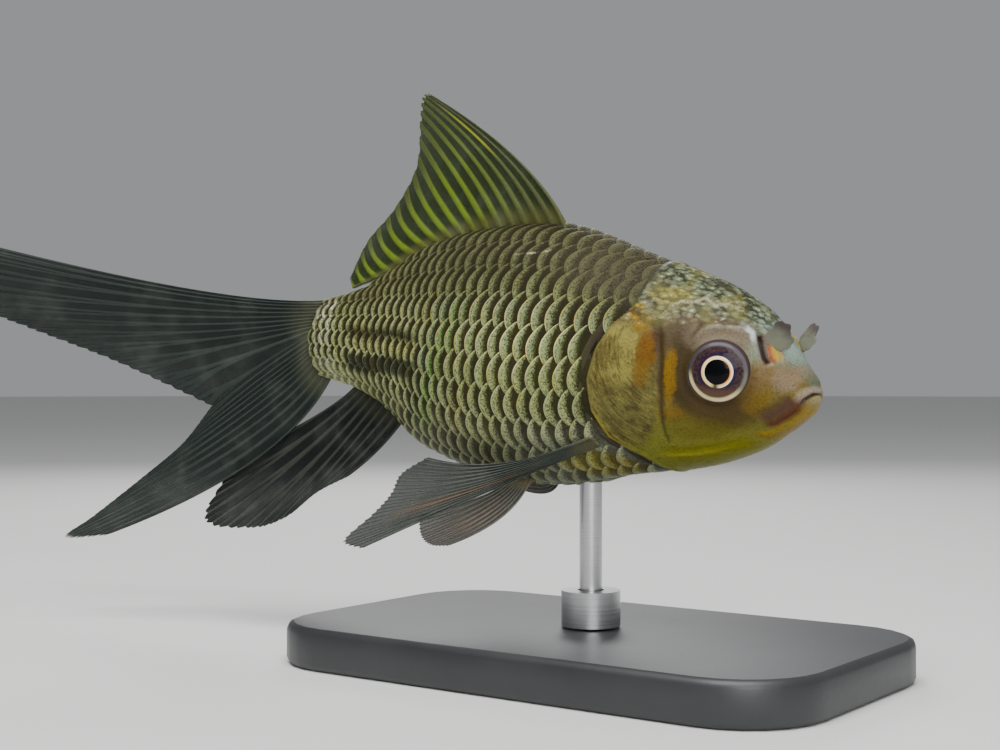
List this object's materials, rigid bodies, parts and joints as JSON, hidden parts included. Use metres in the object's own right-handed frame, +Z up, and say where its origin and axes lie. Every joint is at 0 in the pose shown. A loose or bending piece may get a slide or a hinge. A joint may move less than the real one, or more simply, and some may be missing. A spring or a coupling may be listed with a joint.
{
  "type": "goldfish model",
  "caption": "Still life-size goldfish of the wild olive-bronze colour, with long fins, forked tail and nasal flaps, held by one rod over a flat display base.",
  "frame": {"origin": "centre of the flat underside of the display base, straight below the rod", "axes": "+X the way the fish heads, -Y its right side, +Z up"},
  "size_m": [0.1615, 0.0609, 0.0843],
  "materials": {
    "scales": "moist overlapping scales, khaki-gold flank, dark olive back, silver-cream belly",
    "olive_skin": "smooth moist head skin, olive-grey above and khaki-gold below",
    "fin": "thin translucent membrane over fine grey-olive rays",
    "eye": "black pupil in a pale gold ring, dark violet-brown iris, wet gloss",
    "stand_paint": "satin charcoal paint",
    "stand_steel": "brushed"
  },
  "bodies": {
    "root": {"head": "olive_skin", "jaw": "olive_skin", "gill_cover_left": "olive_skin", "gill_cover_right": "olive_skin", "trunk": "scales", "tail_stem": "scales", "nasal_flap_left": "olive_skin", "nasal_flap_right": "olive_skin", "eye_left": "eye", "eye_right": "eye", "dorsal_fin": "fin", "anal_fin": "fin", "tail_lobe_upper": "fin", "tail_lobe_lower": "fin", "pectoral_fin_left": "fin", "pectoral_fin_right": "fin", "pelvic_fin_left": "fin", "pelvic_fin_right": "fin", "stand_base": "stand_paint", "stand_collar": "stand_steel", "stand_rod": "stand_steel"}
  },
  "joints": []
}
